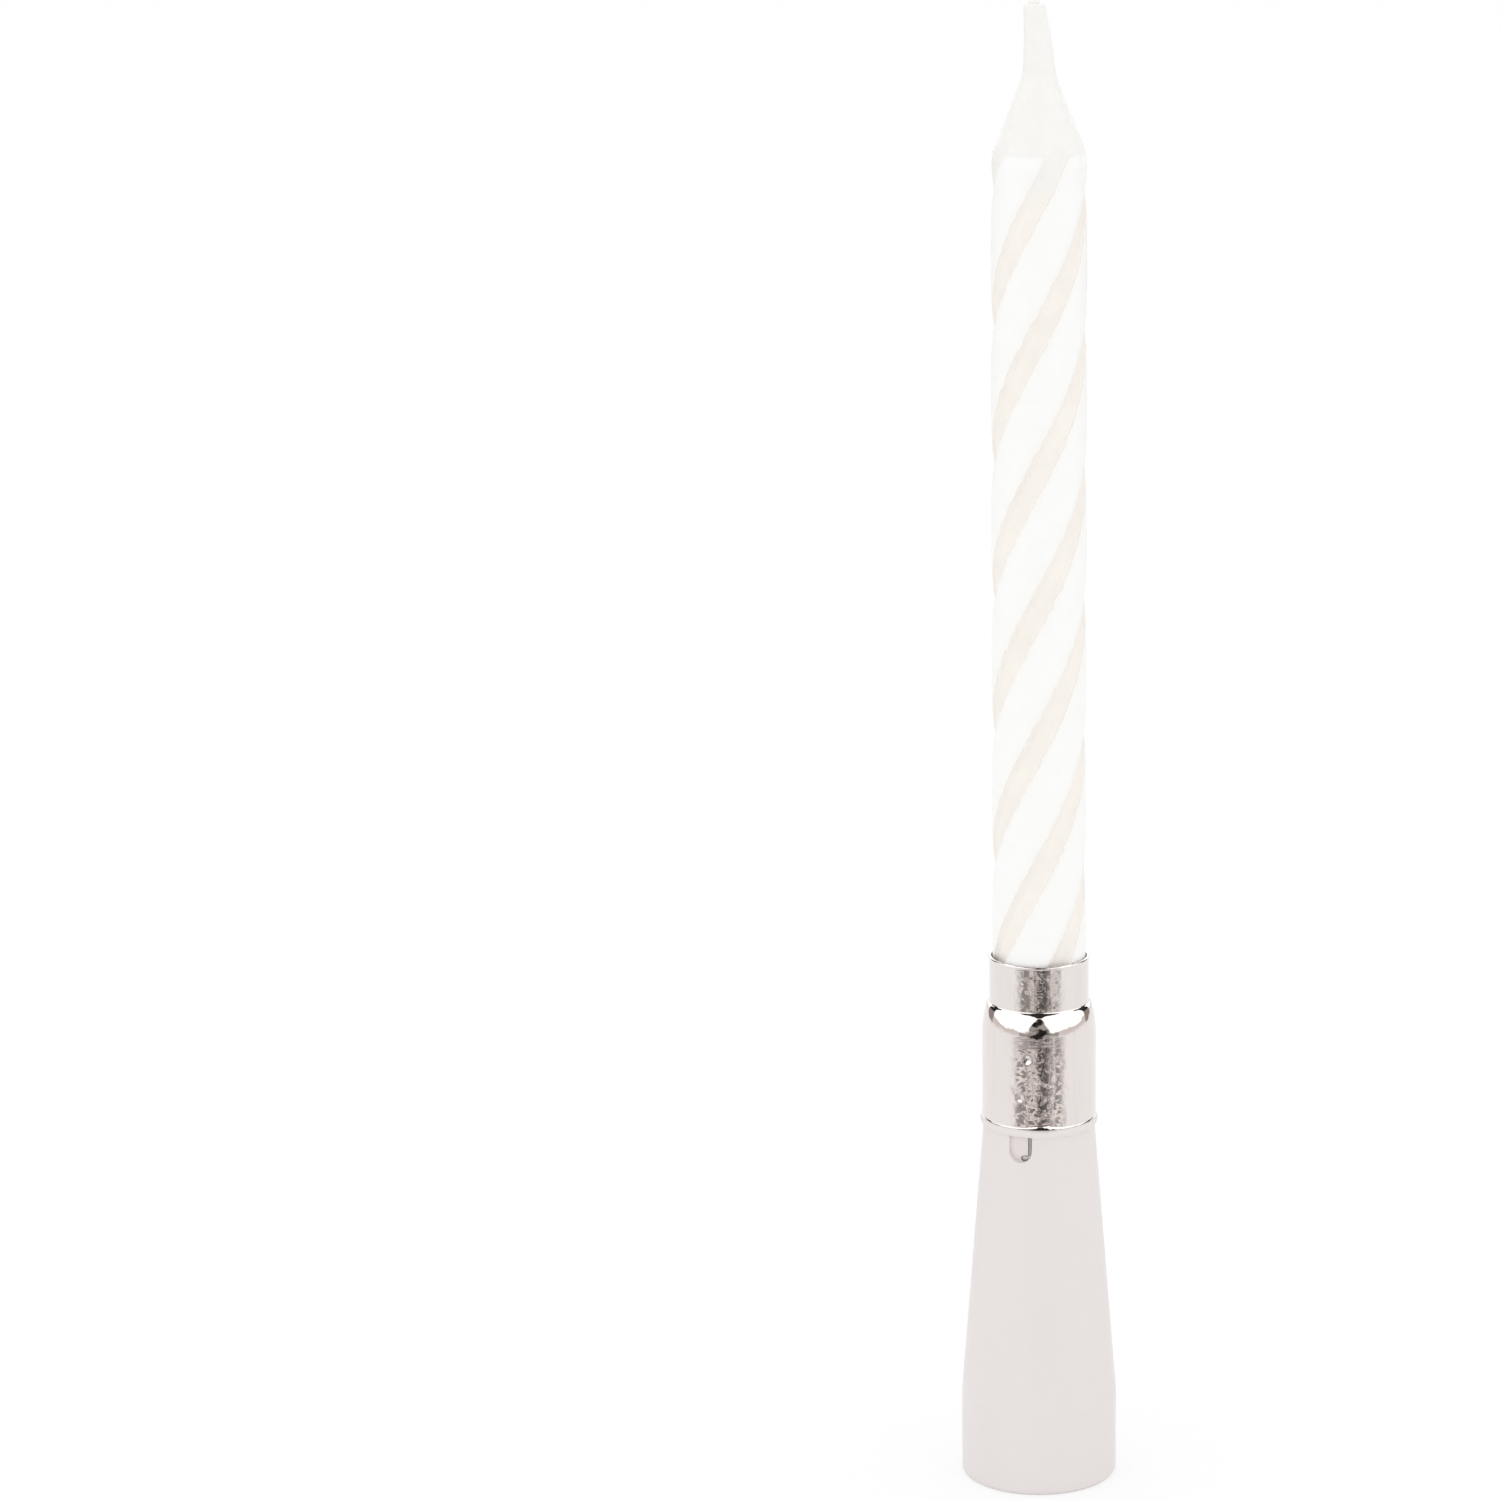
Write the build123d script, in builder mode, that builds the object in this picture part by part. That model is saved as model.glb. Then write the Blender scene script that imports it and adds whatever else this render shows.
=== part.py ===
from build123d import *
import os
from math import cos, radians, sin, sqrt

# A spiral birthday candle standing in a flashing holder, which a twist of its metal ferrule switches on.
# Millimetres. +Z is up, the origin is the middle of the flat foot and the front faces -Y.

# Candle: a twisted wax rod with ribs, white coats on the ribs and a cotton wick
candle_length = 63.5
candle_diameter = 5.65
rib_count = 4
spiral_lead = 32.5
white_share = 0.66
stripe_start_angle = 3
coat_thickness = 0.10
coat_clearance = 0.03
groove_depth = 0.12
cone_length = 4.4
stub_length = 4.15
stub_diameter = 1.95
tip_diameter = 1.25
tip_lean = 0.3
wick_diameter = 0.8
wick_stand_out = 0.15

# Ferrule: drawn sheet metal that turns on the neck of the base and grips the candle
ferrule_wall = 0.15
collar_length = 2.8
collar_clearance = 0.03
shoulder_rise = 1.65
shoulder_step = 0.45
shoulder_round_share = 0.92
sleeve_length = 5.55
turning_clearance = 0.04
turning_gap = 0.05
dimple_radius = 0.28
dimple_depth = 0.2

# Base: tapered plastic shell with a neck, closed under the foot by a plug
base_height = 23.0
neck_height = 3.75
neck_wall = 0.83
neck_chamfer = 0.15
roof_thickness = 0.9
rim_ledge = 0.1
rim_bead_height = 0.6
rim_bead_crest = 0.24
rim_bead_bulge = 0.18
foot_height = 5.2
foot_wall = 1.13
foot_edge_radius = 0.3
plug_thickness = 1.3

# Button cells in an insulating wrap
cell_count = 3
cell_diameter = 6.8
cell_height = 2.6
cell_can_wall = 0.2
cell_cap_diameter = 5.5
cell_cap_step = 0.2
cell_gasket_wall = 0.2
wrap_wall = 0.12
wrap_clearance = 0.02
bay_clearance = 0.06
bay_headroom = 0.3

# Flashing lamp and its leads
lamp_diameter = 3.0
lamp_flange_diameter = 3.8
lamp_flange_height = 1.0
lamp_height = 5.3
lamp_chip_size = 0.4
lead_diameter = 0.4
lead_pitch = 1.8
lead_embed = 2.0
lead_bend_radius = 0.45
lead_clearance = 0.4
lead_hole_clearance = 0.03
lead_touch_gap = 0.02
lead_end_height = 1.1
anode_foot_length = 1.3

# Shallow notch under the rim's bead, with the hooked end of the lead along its lower edge
notch_angle = -109.5
notch_width = 1.45
notch_depth = 2.13
notch_floor_depth = 0.22
notch_lap = 0.1
lead_hook_reach = 0.62
lead_hook_bend_share = 0.45

# Twist switch: two dimples run in two arc grooves, and the strip's pad waits at the end of one
twist_range = 60
dimple_count = 2
groove_height_on_neck = 1.95
switch_groove_height = 1.1
switch_groove_margin = 10

# Contact strip from under the cells to the pad
strip_thickness = 0.15
strip_width = 1.0
strip_bend_radius = 0.2
strip_clearance = 0.1
strip_foot_reach = 1.5
strip_lean_slope = 2
pad_drop = 0.5
pad_touch_gap = 0.02

# Heights, from the floor up
seat_height = base_height + neck_height
roof_underside = seat_height - roof_thickness
stack_bottom = plug_thickness + strip_thickness
stack_top = stack_bottom + cell_count * cell_height
bay_top = stack_top + bay_headroom
notch_bottom = base_height - notch_depth
notch_top = base_height - rim_bead_height + notch_lap
sleeve_bottom = base_height + turning_gap
sleeve_top = sleeve_bottom + sleeve_length
collar_bottom = sleeve_top + shoulder_rise
collar_top = collar_bottom + collar_length
switch_height = base_height + groove_height_on_neck
wax_top = seat_height + candle_length - wick_stand_out
stub_bottom = wax_top - stub_length
cone_bottom = stub_bottom - cone_length

# Radii, from the candle out and from the cells out
candle_radius = candle_diameter / 2
coat_bore = candle_radius - coat_thickness
rod_radius = coat_bore - coat_clearance
groove_radius = rod_radius - groove_depth
collar_bore = candle_radius + collar_clearance
collar_radius = collar_bore + ferrule_wall
sleeve_radius = collar_radius + shoulder_step
sleeve_bore = sleeve_radius - ferrule_wall
neck_radius = sleeve_bore - turning_clearance
neck_bore = neck_radius - neck_wall
rim_radius = sleeve_radius + rim_ledge
flare_top_radius = rim_radius - rim_bead_bulge
cell_radius = cell_diameter / 2
wrap_bore = cell_radius + wrap_clearance
wrap_radius = wrap_bore + wrap_wall
bay_radius = wrap_radius + bay_clearance
foot_radius = bay_radius + foot_wall
lead_radius = lead_diameter / 2

# Rib and groove angles, in degrees
rib_span = 360 / rib_count * white_share


def radial_plane(angle):
    """Plane through the axis whose x runs outward at the angle and whose y runs up."""
    outward = (cos(radians(angle)), sin(radians(angle)), 0)
    sideways = (sin(radians(angle)), -cos(radians(angle)), 0)
    return Plane(origin=(0, 0, 0), x_dir=outward, z_dir=sideways)


def facing_plane(angle, distance):
    """Plane that faces outward at the angle, at a distance from the axis, with y running up."""
    outward = (cos(radians(angle)), sin(radians(angle)), 0)
    along = (-sin(radians(angle)), cos(radians(angle)), 0)
    return Plane(origin=(0, 0, 0), x_dir=along, z_dir=outward).offset(distance)


def annular_sector(inner_radius, outer_radius, span):
    """Sketch of a ring segment that is centred on the x axis."""
    with BuildSketch() as sector:
        with BuildLine():
            outer_arc = CenterArc((0, 0), outer_radius, -span / 2, span)
            inner_arc = CenterArc((0, 0), inner_radius, -span / 2, span)
            Line(inner_arc @ 0, outer_arc @ 0)
            Line(inner_arc @ 1, outer_arc @ 1)
        make_face()
    return sector.sketch


def shoulder_turn(start):
    """Rounded shoulder from the sleeve's top in to the collar, which it meets in a hollow bend."""
    bend = start + Vector(-shoulder_step, shoulder_rise) * shoulder_round_share
    rounding = TangentArc(start, bend, tangent=(0, 1))
    return TangentArc(bend, start + Vector(-shoulder_step, shoulder_rise), tangent=rounding % 1)


def turned(points):
    """Part turned about the Z axis from an outline of radius and height points."""
    with BuildPart() as piece:
        with BuildSketch(Plane.XZ):
            with BuildLine():
                Polyline(points, close=True)
            make_face()
        revolve(axis=Axis.Z)
    return piece.part


def save(part, label):
    """Name a finished piece and write it as its own node."""
    part.label = label
    export_step(part, f"parts/{label}.step")


os.makedirs("parts", exist_ok=True)
seat_plane = Plane.XY.offset(seat_height)

# Guides for the twist: the candle's axis and a helix that turns the section along it
with BuildLine() as candle_axis:
    Line((0, 0, seat_height), (0, 0, cone_bottom))
with BuildLine() as spiral_guide:
    Helix(spiral_lead, cone_bottom - seat_height, candle_radius, center=(0, 0, seat_height))
spiral = Wire(spiral_guide.edges())

# Wick line: straight through the wax, then bent over to one side in the tip
with BuildLine(Plane.XZ) as wick_line:
    Line((0, seat_height), (0, stub_bottom))
    TangentArc((0, stub_bottom), (-tip_lean, wax_top + wick_stand_out), tangent=(0, 1))

with BuildPart() as candle_core:
    with BuildSketch(seat_plane):
        Circle(groove_radius)
        with PolarLocations(0, rib_count, start_angle=stripe_start_angle):
            add(annular_sector(groove_radius - groove_depth, rod_radius, rib_span))
    sweep(path=candle_axis.line, binormal=spiral)
    with BuildSketch(Plane.XZ):
        with BuildLine():
            Polyline(
                (0, cone_bottom),
                (rod_radius, cone_bottom),
                (stub_diameter / 2, stub_bottom),
                (0, stub_bottom),
                close=True,
            )
        make_face()
    revolve(axis=Axis.Z)
    with BuildSketch(Plane.XY.offset(stub_bottom)):
        Circle(stub_diameter / 2)
    # Half way up, a shallow arc has moved aside by a quarter of its lean
    with BuildSketch(Plane.XY.offset(stub_bottom + stub_length / 2)):
        with Locations((-tip_lean / 4, 0)):
            Circle((stub_diameter + tip_diameter) / 4)
    with BuildSketch(Plane.XY.offset(wax_top)):
        with Locations((-tip_lean, 0)):
            Circle(tip_diameter / 2)
    loft()
    with BuildSketch(seat_plane):
        Circle(wick_diameter / 2)
    sweep(path=wick_line.line, mode=Mode.SUBTRACT)
save(candle_core.part, "candle_core")

for rib in range(rib_count):
    with BuildPart() as white_coat:
        with BuildSketch(seat_plane):
            with PolarLocations(0, 1, start_angle=stripe_start_angle + rib * 360 / rib_count):
                add(annular_sector(coat_bore, candle_radius, rib_span))
        sweep(path=candle_axis.line, binormal=spiral)
    save(white_coat.part, f"white_coat_{rib + 1}")

with BuildPart() as wick:
    with BuildSketch(seat_plane):
        Circle(wick_diameter / 2)
    sweep(path=wick_line.line)
save(wick.part, "wick")

# Punched dimples: a bump inside the sleeve, cut off at the sleeve's outer face
dimple_centre = sleeve_radius + dimple_radius - dimple_depth
dimple_plane = Plane.XY.offset(switch_height)
with BuildPart(dimple_plane) as dimple_bumps:
    with PolarLocations(dimple_centre, dimple_count, start_angle=notch_angle):
        Sphere(dimple_radius + ferrule_wall)
    Cylinder(sleeve_radius, sleeve_length, mode=Mode.INTERSECT)

with BuildPart() as ferrule:
    with BuildSketch(Plane.XZ):
        with BuildLine():
            outer_side = Line((sleeve_radius, sleeve_bottom), (sleeve_radius, sleeve_top))
            outer_turn = shoulder_turn(outer_side @ 1)
            outer_collar = Line(outer_turn @ 1, (collar_radius, collar_top))
            lip = Line(outer_collar @ 1, (collar_bore, collar_top))
            inner_collar = Line(lip @ 1, (collar_bore, collar_bottom))
            inner_side = Line((sleeve_bore, sleeve_bottom), (sleeve_bore, sleeve_top))
            shoulder_turn(inner_side @ 1)
            Line(inner_side @ 0, outer_side @ 0)
        make_face()
    revolve(axis=Axis.Z)
    add(dimple_bumps.part)
    with Locations(dimple_plane):
        with PolarLocations(dimple_centre, dimple_count, start_angle=notch_angle):
            Sphere(dimple_radius, mode=Mode.SUBTRACT)
save(ferrule.part, "ferrule")

# Lead line: out of the lamp, up inside the shell, out into the notch, aside and up under the sleeve
lamp_bottom = stack_top + lead_clearance + lead_diameter + lead_bend_radius
lead_run_height = stack_top + lead_clearance + lead_radius
lead_run_radius = lamp_flange_diameter / 2 + lead_clearance + lead_radius
lead_contact_radius = sleeve_bore - lead_touch_gap - lead_radius
lead_out_radius = sqrt(lead_contact_radius**2 - lead_hook_reach**2)
lead_hook_bend = lead_hook_reach * lead_hook_bend_share
lead_turn_radius = lead_out_radius - lead_bend_radius - lead_hook_bend
lead_in_radius = min(neck_bore - lead_radius, lead_turn_radius) - lead_hole_clearance
lead_exit_height = notch_bottom + lead_radius
lead_end = base_height + lead_end_height
notch_floor = flare_top_radius - notch_floor_depth
with BuildLine(radial_plane(notch_angle)) as cathode_line:
    FilletPolyline(
        (lead_pitch / 2, lamp_bottom + lead_embed),
        (lead_pitch / 2, lead_run_height),
        (lead_run_radius, lead_run_height),
        (lead_in_radius, lead_exit_height),
        (lead_out_radius, lead_exit_height),
        (lead_out_radius, lead_exit_height, -lead_hook_reach),
        (lead_out_radius, lead_end, -lead_hook_reach),
        radius=[lead_bend_radius, lead_bend_radius, lead_bend_radius, lead_hook_bend, lead_hook_bend],
    )
lead_start_plane = Plane(cathode_line.line @ 0, z_dir=cathode_line.line % 0)

# Strip's way: under the cells, up beside them, up the neck and out into the switch groove
strip_angle = notch_angle + twist_range
strip_foot_height = plug_thickness + strip_thickness / 2
strip_riser_radius = bay_radius + strip_clearance / 2 + strip_thickness / 2
strip_neck_radius = neck_bore - strip_clearance - strip_thickness / 2
pad_radius = sleeve_bore - dimple_depth - pad_touch_gap - strip_thickness / 2
switch_groove_floor = pad_radius - strip_thickness / 2
pad_top = switch_height + pad_drop / 2
strip_lean_start = stack_top - strip_thickness
strip_lean_end = bay_top + strip_lean_slope * (bay_radius - strip_neck_radius)
channel_depth = strip_thickness + strip_clearance

with BuildPart() as base_shell:
    with BuildSketch(Plane.XZ):
        with BuildLine():
            foot_side = Polyline((0, 0), (foot_radius, 0), (foot_radius, foot_height))
            flare = Line(foot_side @ 1, (flare_top_radius, base_height - rim_bead_height))
            bead = ThreePointArc(
                flare @ 1,
                (rim_radius, base_height - rim_bead_crest),
                (sleeve_radius, base_height),
            )
            Polyline(bead @ 1, (neck_radius, base_height), (neck_radius, seat_height), (0, seat_height))
            Line((0, seat_height), (0, 0))
        make_face()
    revolve(axis=Axis.Z)
    fillet(base_shell.edges().group_by(Axis.Z)[0], foot_edge_radius)
    chamfer(base_shell.edges().group_by(Axis.Z)[-1], neck_chamfer)
    with BuildSketch(Plane.XZ):
        with BuildLine():
            Polyline(
                (0, 0),
                (bay_radius, 0),
                (bay_radius, bay_top),
                (neck_bore, notch_bottom),
                (neck_bore, roof_underside),
                (0, roof_underside),
                close=True,
            )
        make_face()
    revolve(axis=Axis.Z, mode=Mode.SUBTRACT)
    # Arc grooves for the dimples
    for dimple in range(dimple_count):
        groove_start = notch_angle + dimple * 360 / dimple_count - switch_groove_margin
        with BuildSketch(radial_plane(groove_start)):
            with Locations((switch_groove_floor, switch_height)):
                Rectangle(
                    sleeve_radius - switch_groove_floor,
                    switch_groove_height,
                    align=(Align.MIN, Align.CENTER),
                )
        revolve(
            axis=Axis.Z,
            revolution_arc=twist_range + 2 * switch_groove_margin,
            mode=Mode.SUBTRACT,
        )
    # Channel beside the cells and slot through the neck for the strip
    with BuildSketch(radial_plane(strip_angle)):
        with Locations((bay_radius - strip_thickness, plug_thickness)):
            Rectangle(
                strip_thickness + channel_depth,
                strip_lean_end - plug_thickness,
                align=(Align.MIN, Align.MIN),
            )
        with Locations((strip_neck_radius, pad_top)):
            Rectangle(
                pad_radius - strip_neck_radius,
                channel_depth,
                align=(Align.MIN, Align.CENTER),
            )
    extrude(amount=strip_width / 2 + strip_clearance, both=True, mode=Mode.SUBTRACT)
    # Round-bottomed notch under the bead, and the lead's way out into it and up behind the bead
    with BuildSketch(facing_plane(notch_angle, notch_floor)):
        with Locations((0, notch_bottom + notch_width / 2)):
            Circle(notch_width / 2)
            Rectangle(
                notch_width,
                notch_top - notch_bottom - notch_width / 2,
                align=(Align.CENTER, Align.MIN),
            )
    extrude(amount=foot_radius, mode=Mode.SUBTRACT)
    with BuildSketch(lead_start_plane):
        Circle(lead_radius + lead_hole_clearance)
    sweep(path=cathode_line.line, mode=Mode.SUBTRACT)
save(base_shell.part, "base_shell")

save(turned([(0, 0), (bay_radius, 0), (bay_radius, plug_thickness), (0, plug_thickness)]), "base_plug")

save(
    turned(
        [
            (wrap_bore, stack_bottom),
            (wrap_radius, stack_bottom),
            (wrap_radius, stack_top),
            (wrap_bore, stack_top),
        ]
    ),
    "cell_wrap",
)

# Each cell stands on its cap: the can opens downward, and the gasket keeps can and cap apart
cap_radius = cell_cap_diameter / 2
crimp_radius = cap_radius + cell_gasket_wall
can_bore = cell_radius - cell_can_wall
cap_skirt = can_bore - cell_gasket_wall
for cell in range(cell_count):
    cap_face = stack_bottom + cell * cell_height
    can_rim = cap_face + cell_cap_step
    crimp_top = can_rim + cell_can_wall
    cap_shoulder = crimp_top + cell_gasket_wall
    can_top = cap_face + cell_height
    can_ceiling = can_top - cell_can_wall
    can = [
        (0, can_top),
        (cell_radius, can_top),
        (cell_radius, can_rim),
        (crimp_radius, can_rim),
        (crimp_radius, crimp_top),
        (can_bore, crimp_top),
        (can_bore, can_ceiling),
        (0, can_ceiling),
    ]
    gasket = [
        (cap_radius, can_rim),
        (crimp_radius, can_rim),
        (crimp_radius, crimp_top),
        (can_bore, crimp_top),
        (can_bore, can_ceiling),
        (cap_skirt, can_ceiling),
        (cap_skirt, cap_shoulder),
        (cap_radius, cap_shoulder),
    ]
    cap = [
        (0, cap_face),
        (cap_radius, cap_face),
        (cap_radius, cap_shoulder),
        (cap_skirt, cap_shoulder),
        (cap_skirt, can_ceiling),
        (0, can_ceiling),
    ]
    save(turned(can), f"cell_can_{cell + 1}")
    save(turned(gasket), f"cell_gasket_{cell + 1}")
    save(turned(cap), f"cell_cap_{cell + 1}")

with BuildPart() as contact_strip:
    with BuildSketch(radial_plane(strip_angle)):
        with BuildLine():
            FilletPolyline(
                (-strip_foot_reach, strip_foot_height),
                (strip_riser_radius, strip_foot_height),
                (strip_riser_radius, strip_lean_start),
                (strip_neck_radius, strip_lean_end),
                (strip_neck_radius, pad_top),
                (pad_radius, pad_top),
                (pad_radius, pad_top - pad_drop),
                radius=strip_bend_radius,
            )
        trace(line_width=strip_thickness)
    extrude(amount=strip_width / 2, both=True)
save(contact_strip.part, "contact_strip")

with BuildPart() as cathode_lead:
    with BuildSketch(lead_start_plane):
        Circle(lead_radius)
    sweep(path=cathode_line.line)
save(cathode_lead.part, "led_cathode_lead")

with BuildLine(radial_plane(notch_angle)) as anode_line:
    FilletPolyline(
        (-lead_pitch / 2, lamp_bottom + lead_embed),
        (-lead_pitch / 2, stack_top + lead_radius),
        (anode_foot_length - lead_pitch / 2, stack_top + lead_radius),
        radius=lead_bend_radius,
    )
with BuildPart() as anode_lead:
    with BuildSketch(Plane(anode_line.line @ 0, z_dir=anode_line.line % 0)):
        Circle(lead_radius)
    sweep(path=anode_line.line)
save(anode_lead.part, "led_anode_lead")

chip_bottom = lamp_bottom + lead_embed
with BuildPart(radial_plane(notch_angle)) as lamp_chip:
    with Locations((lead_pitch / 2, chip_bottom)):
        Box(lamp_chip_size, lamp_chip_size, lamp_chip_size, align=(Align.CENTER, Align.MIN, Align.CENTER))
save(lamp_chip.part, "led_chip")

lamp_radius = lamp_diameter / 2
dome_bottom = lamp_bottom + lamp_height - lamp_radius
flange_top = lamp_bottom + lamp_flange_height
with BuildPart() as lamp_lens:
    with BuildSketch(Plane.XZ):
        with BuildLine():
            side = Polyline(
                (0, lamp_bottom),
                (lamp_flange_diameter / 2, lamp_bottom),
                (lamp_flange_diameter / 2, flange_top),
                (lamp_radius, flange_top),
                (lamp_radius, dome_bottom),
            )
            dome = TangentArc(side @ 1, (0, dome_bottom + lamp_radius), tangent=(0, 1))
            Line(dome @ 1, (0, lamp_bottom))
        make_face()
    revolve(axis=Axis.Z)
    add([cathode_lead.part, anode_lead.part, lamp_chip.part], mode=Mode.SUBTRACT)
save(lamp_lens.part, "led_lens")
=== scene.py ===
import math

import bmesh
import bpy
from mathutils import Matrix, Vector, noise


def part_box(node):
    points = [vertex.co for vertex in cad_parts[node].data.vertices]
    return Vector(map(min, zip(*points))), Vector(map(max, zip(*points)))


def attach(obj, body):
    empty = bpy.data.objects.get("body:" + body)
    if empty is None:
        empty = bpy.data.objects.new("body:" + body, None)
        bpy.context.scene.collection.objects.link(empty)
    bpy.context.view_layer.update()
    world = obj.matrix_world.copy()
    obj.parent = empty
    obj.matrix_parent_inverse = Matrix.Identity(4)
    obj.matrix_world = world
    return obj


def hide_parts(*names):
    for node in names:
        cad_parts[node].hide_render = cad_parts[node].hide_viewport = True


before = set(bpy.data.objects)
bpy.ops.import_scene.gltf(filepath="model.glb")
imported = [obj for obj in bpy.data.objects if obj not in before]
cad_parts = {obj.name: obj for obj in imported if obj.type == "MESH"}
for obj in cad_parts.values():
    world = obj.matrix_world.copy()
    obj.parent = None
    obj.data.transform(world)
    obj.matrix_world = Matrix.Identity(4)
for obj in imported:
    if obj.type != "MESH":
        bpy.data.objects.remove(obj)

bl_info = {
    "name": "Spiral candle in a flashing holder",
    "version": (1, 0, 0),
    "blender": (4, 5, 0),
    "location": "3D View > Sidebar > Candle",
    "description": "Dresses the packed candle, its ferrule and its base, and sets the stage",
    "category": "Object",
}

MM = 0.001
DEGREE = math.radians(1)
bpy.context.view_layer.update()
COAT_LOW, COAT_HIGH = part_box("white_coat_1")
CORE_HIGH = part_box("candle_core")[1]
WICK_LOW, WICK_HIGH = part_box("wick")
FERRULE_LOW, FERRULE_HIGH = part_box("ferrule")
IMAGE_SIDE = 1500
THIN_EDGE = "thin_edge"
FLOAT = "NodeSocketFloat"
COLOR = "NodeSocketColor"
CARD_HEIGHT = 0.4 * MM


def maker(kind, **fixed):
    """Function that makes properties of one kind, each with its own name, description and default."""

    def make(name, description, default):
        return kind(name=name, description=description, default=default, **fixed)

    return make


length = maker(bpy.props.FloatProperty, precision=6, unit="LENGTH")
turn = maker(bpy.props.FloatProperty, subtype="ANGLE")
share = maker(bpy.props.FloatProperty, min=0, max=1, subtype="FACTOR")
plain = maker(bpy.props.FloatProperty, min=0)
pixels = maker(bpy.props.FloatProperty, subtype="PIXEL")
whole = maker(bpy.props.IntProperty, min=1)
colour = maker(bpy.props.FloatVectorProperty, size=3, min=0, max=1, subtype="COLOR")
position = maker(bpy.props.FloatVectorProperty, size=3, subtype="TRANSLATION", unit="LENGTH")


class CandleSizes(bpy.types.PropertyGroup):
    """Sizes of the twisted wax candle."""

    seat: length("Seat", "Height of the candle's foot", COAT_LOW.z)
    cone_bottom: length("Cone bottom", "Height where the ribs end and the cone starts", COAT_HIGH.z)
    wax_top: length("Wax top", "Height of the tip", CORE_HIGH.z)
    radius: length("Radius", "Radius over the white coats", COAT_HIGH.x)
    rod_radius: length("Rod radius", "Radius over the ribs under the coats", CORE_HIGH.x)
    groove_depth: length("Groove depth", "Depth of a groove below the ribs", 0.12 * MM)
    coat_sink: length("Coat sink", "How far the coats' edges sink into the rod", 0.015 * MM)
    spiral_lead: length("Spiral lead", "Rise of the spiral in one turn", 32.5 * MM)
    rib_count: whole("Ribs", "Ribs round the rod", 4)
    white_share: share("White share", "Share of the girth that the white coats cover", 0.66)
    stripe_start: turn("Stripe start", "Direction of the first coat at the candle's foot", 3 * DEGREE)
    cone_length: length("Cone length", "Length of the cone", 4.4 * MM)
    stub_radius: length("Stub radius", "Radius where the cone turns into the stub", 0.975 * MM)
    tip_radius: length("Tip radius", "Radius of the stub's top", 0.625 * MM)
    tip_lean: length("Tip lean", "How far the stub leans to one side at its top", 0.3 * MM)
    tip_round: length("Tip round", "Height of the rounding on the stub's top", 0.10 * MM)
    bore_radius: length("Bore radius", "Radius of the hole for the wick", 0.33 * MM)
    ply_radius: length("Ply radius", "Radius of one ply of the wick", 0.185 * MM)
    ply_lead: length("Ply lead", "Rise of a ply in one turn", 2.6 * MM)
    raggedness: length("Raggedness", "How far the edge of a coat wanders", 0.30 * MM)
    unevenness: length("Unevenness", "Height of the lumps in the wax", 0.022 * MM)
    seed: whole("Seed", "Seed of the wandering edges", 7)


class FerruleSizes(bpy.types.PropertyGroup):
    """Sizes of the drawn metal ferrule."""

    bottom: length("Bottom", "Height of the sleeve's lower edge", FERRULE_LOW.z)
    top: length("Top", "Height of the collar's lip", FERRULE_HIGH.z)
    radius: length("Radius", "Outer radius of the sleeve", FERRULE_HIGH.x)
    wall: length("Wall", "Thickness of the sheet", 0.15 * MM)
    sleeve_length: length("Sleeve length", "Length of the straight sleeve", 5.00 * MM)
    shoulder_rise: length("Shoulder rise", "Height of the shoulder", 2.20 * MM)
    shoulder_step: length("Shoulder step", "How far the shoulder goes in", 0.45 * MM)
    slope_tilt: turn("Slope tilt", "Tilt that the shoulder's long slope reaches", 23 * DEGREE)
    crown_tilt: turn("Crown tilt", "Tilt of the shoulder just under the collar", 62 * DEGREE)
    crown_bend: length("Crown bend", "Radius of the bend at the shoulder's top", 0.45 * MM)
    crease_bend: length("Crease bend", "Radius of the hollow bend under the collar", 0.12 * MM)
    lip_round: length("Lip round", "Radius of the rolled lip on the collar", 0.105 * MM)
    hem_tilt: turn("Hem tilt", "Tilt of the sleeve's flared lower edge", 52 * DEGREE)
    hem_bend: length("Hem bend", "Radius of the bend into the hem", 0.12 * MM)
    hem_drop: length("Hem drop", "How far the hem reaches down to the base's rim", 0.04 * MM)
    hem_swell: plain("Hem swell", "How many times more the hem is bent open at the front", 2.3)
    swell_angle: turn("Swell angle", "Direction in which the hem is bent open", -86 * DEGREE)
    swell_width: turn("Swell width", "Half width of the stretch that is bent open", 15 * DEGREE)
    dimple_angle: turn("Dimple angle", "Direction of the first punched dimple", -109.5 * DEGREE)
    dimple_height: length("Dimple height", "Height of the dimples", 24.95 * MM)
    dimple_reach: length("Dimple reach", "Radius of a dimple's mouth", 0.36 * MM)
    dimple_depth: length("Dimple depth", "Depth of a dimple", 0.055 * MM)
    dent_angle: turn("Dent angle", "Direction of the small dent in the sleeve", -101.5 * DEGREE)
    dent_height: length("Dent height", "Height of the dent", 27.38 * MM)
    dent_reach: length("Dent reach", "Radius of the dent's mouth", 0.34 * MM)
    dent_depth: length("Dent depth", "Depth of the dent", 0.10 * MM)
    waviness: length("Waviness", "Height of the waves left by drawing the sheet", 0.004 * MM)


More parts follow.
